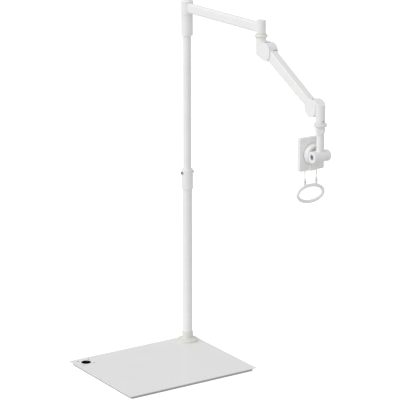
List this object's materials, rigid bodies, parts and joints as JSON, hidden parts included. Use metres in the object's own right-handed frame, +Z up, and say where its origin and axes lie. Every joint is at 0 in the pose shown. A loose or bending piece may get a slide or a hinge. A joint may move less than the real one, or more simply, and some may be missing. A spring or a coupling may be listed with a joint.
{
  "type": "floor stand support arm",
  "caption": "Floor stand with a weighted base, telescoping column, swivelling arms, spring arm with a level head, tilting mounting plate and a hand loop.",
  "frame": {"origin": "on the floor under the column axis, on the underside of the base mat", "axes": "+Z up; the base runs from the column along -X; the arms reach along -Y and the mounting plate faces +Y"},
  "size_m": [0.644, 1.0366, 1.546],
  "materials": {
    "white_powder_coat": "satin powder coat",
    "white_moulded_plastic": "fine satin moulding",
    "ivory_bearing_plastic": "satin",
    "zinc_plated_steel": "bright zinc",
    "bare_steel": "turned",
    "black_bush_plastic": "satin",
    "black_rubber": "matt"
  },
  "bodies": {
    "base_unit": {"base_mat": "black_rubber", "base_weight": "white_powder_coat", "base_cover": "white_powder_coat", "foot_screws": "zinc_plated_steel", "foot_flange": "white_powder_coat", "lower_tube": "white_powder_coat", "clamp_collar": "white_powder_coat", "clamp_screws": "zinc_plated_steel", "top_guide_bush": "black_bush_plastic"},
    "mast": {"upper_tube": "white_powder_coat", "bottom_guide_bush": "black_bush_plastic", "top_sleeve": "white_powder_coat", "arm_spindle": "zinc_plated_steel", "thrust_washer": "ivory_bearing_plastic", "spindle_nut": "zinc_plated_steel"},
    "extension_arm": {"arm_hub": "white_powder_coat", "hub_bushes": "ivory_bearing_plastic", "hub_cap": "white_moulded_plastic", "arm_beam": "white_powder_coat", "end_post": "white_powder_coat", "post_bushes": "ivory_bearing_plastic", "post_cap": "white_moulded_plastic"},
    "elbow_yoke": {"yoke": "white_powder_coat", "upper_swivel_ring": "ivory_bearing_plastic", "elbow_washer": "ivory_bearing_plastic", "elbow_spindle": "zinc_plated_steel", "elbow_nut": "zinc_plated_steel", "upper_pivot_pin": "zinc_plated_steel", "upper_link_pin": "zinc_plated_steel", "upper_pivot_covers": "white_moulded_plastic"},
    "spring_arm": {"spring_beam": "white_powder_coat", "beam_under_cover": "white_moulded_plastic", "upper_pivot_bushes": "black_bush_plastic", "lower_pivot_bushes": "black_bush_plastic", "spring_rod": "bare_steel", "spring_seats": "bare_steel", "coil_spring": "bare_steel"},
    "link": {"levelling_link": "bare_steel"},
    "level_head": {"head": "white_powder_coat", "head_set_screw": "zinc_plated_steel", "wrist_bushes": "ivory_bearing_plastic", "lower_pivot_pin": "zinc_plated_steel", "lower_link_pin": "zinc_plated_steel", "lower_pivot_covers": "white_moulded_plastic"},
    "wrist": {"lower_swivel_ring": "ivory_bearing_plastic", "locking_collar": "white_powder_coat", "drop_tube": "white_powder_coat", "wrist_spindle": "zinc_plated_steel"},
    "tilt_unit": {"tilt_bracket": "white_powder_coat", "tilt_bolt": "zinc_plated_steel", "tilt_cap": "white_moulded_plastic", "rotate_screw": "zinc_plated_steel"},
    "plate_unit": {"plate_cover": "white_moulded_plastic", "vesa_plate": "white_powder_coat", "friction_disc": "ivory_bearing_plastic", "handle_rods": "white_powder_coat", "handle_connectors": "white_powder_coat", "connector_screws": "zinc_plated_steel", "handle_loop": "white_moulded_plastic"}
  },
  "joints": [
    {"name": "column_height", "type": "slide", "parent": "base_unit", "child": "mast", "axis": [0, 0, 1], "range_m": [-0.42, 0.1]},
    {"name": "arm_swivel", "type": "hinge", "parent": "mast", "child": "extension_arm", "pos_m": [0, 0, 1.5], "axis": [0, 0, 1], "range_deg": [-175, 175]},
    {"name": "elbow_swivel", "type": "hinge", "parent": "extension_arm", "child": "elbow_yoke", "pos_m": [0, -0.55, 1.48], "axis": [0, 0, 1], "range_deg": [-150, 150]},
    {"name": "arm_lift", "type": "hinge", "parent": "elbow_yoke", "child": "spring_arm", "pos_m": [0, -0.602, 1.423], "axis": [-1, 0, 0], "range_deg": [-16, 68]},
    {"name": "link_swing", "type": "hinge", "parent": "elbow_yoke", "child": "link", "pos_m": [0, -0.602, 1.409], "axis": [-1, 0, 0], "range_deg": [-17, 69]},
    {"name": "head_level", "type": "hinge", "parent": "spring_arm", "child": "level_head", "pos_m": [0, -0.91662, 1.25218], "axis": [1, 0, 0], "range_deg": [-17, 69]},
    {"name": "head_swivel", "type": "hinge", "parent": "level_head", "child": "wrist", "pos_m": [0, -0.95762, 1.19], "axis": [0, 0, 1], "range_deg": [-165, 165]},
    {"name": "head_tilt", "type": "hinge", "parent": "wrist", "child": "tilt_unit", "pos_m": [0, -0.95762, 1.0645], "axis": [1, 0, 0], "range_deg": [-45, 14]},
    {"name": "plate_rotate", "type": "hinge", "parent": "tilt_unit", "child": "plate_unit", "pos_m": [0, -0.908, 1.0645], "axis": [0, 1, 0], "range_deg": [-90, 90]}
  ],
  "couplings": [
    {"joint": "link_swing", "follows": "arm_lift", "ratio": 1},
    {"joint": "head_level", "follows": "arm_lift", "ratio": 1}
  ]
}
